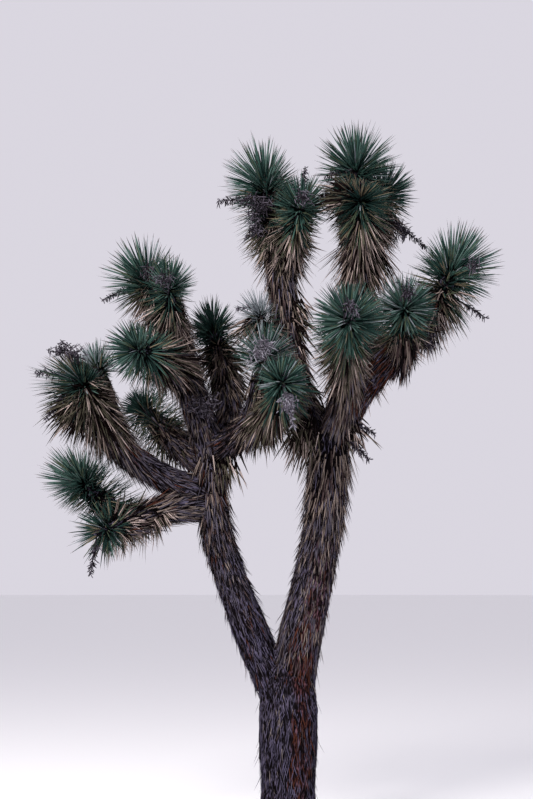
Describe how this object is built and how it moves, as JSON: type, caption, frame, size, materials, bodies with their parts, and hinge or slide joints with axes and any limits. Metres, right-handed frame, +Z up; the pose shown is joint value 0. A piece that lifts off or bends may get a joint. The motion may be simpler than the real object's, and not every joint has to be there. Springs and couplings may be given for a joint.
{
  "type": "joshua tree",
  "caption": "Joshua tree with a short trunk, two shaggy limbs and thick boughs that end in rosettes of stiff blue-green leaves over skirts of dead ones.",
  "frame": {"origin": "middle of the flat cut under the trunk, at ground level", "axes": "+Z up, +X to the right and +Y away, as seen in the picture"},
  "size_m": [3.063, 2.1878, 4.6485],
  "materials": {
    "bark": "rough, fissured and fibrous bark",
    "thatch": "dry, shaggy dead leaves pressed down the limb",
    "leaf": "stiff matt blue-green leaves with dry brown tips"
  },
  "bodies": {
    "root": {"trunk": "bark", "right_limb": "thatch", "left_limb": "thatch", "bough_upper_left": "thatch", "bough_upper_left_inner": "thatch", "bough_near_left": "thatch", "bough_far_left": "thatch", "bough_far_left_back": "thatch", "bough_back_left": "thatch", "bough_low_left": "thatch", "bough_lowest_left": "thatch", "bough_inner_left": "thatch", "bough_front_middle": "thatch", "bough_front_middle_low": "thatch", "bough_back_middle": "thatch", "bough_top_middle": "thatch", "bough_small_middle": "thatch", "bough_top_middle_front": "thatch", "bough_top_middle_back": "thatch", "bough_top_right": "thatch", "bough_top_right_front": "thatch", "bough_top_right_side": "thatch", "bough_top_right_back": "thatch", "bough_front_right": "thatch", "bough_far_right": "thatch", "bough_near_right": "thatch", "bough_back_right": "thatch", "rosette_upper_left": "leaf", "rosette_upper_left_inner": "leaf", "rosette_near_left": "leaf", "rosette_far_left": "leaf", "rosette_far_left_back": "leaf", "rosette_back_left": "leaf", "rosette_low_left": "leaf", "rosette_lowest_left": "leaf", "rosette_inner_left": "leaf", "rosette_front_middle": "leaf", "rosette_front_middle_low": "leaf", "rosette_back_middle": "leaf", "rosette_top_middle": "leaf", "rosette_small_middle": "leaf", "rosette_top_middle_front": "leaf", "rosette_top_middle_back": "leaf", "rosette_top_right": "leaf", "rosette_top_right_front": "leaf", "rosette_top_right_side": "leaf", "rosette_top_right_back": "leaf", "rosette_front_right": "leaf", "rosette_far_right": "leaf", "rosette_near_right": "leaf", "rosette_back_right": "leaf"}
  },
  "joints": []
}
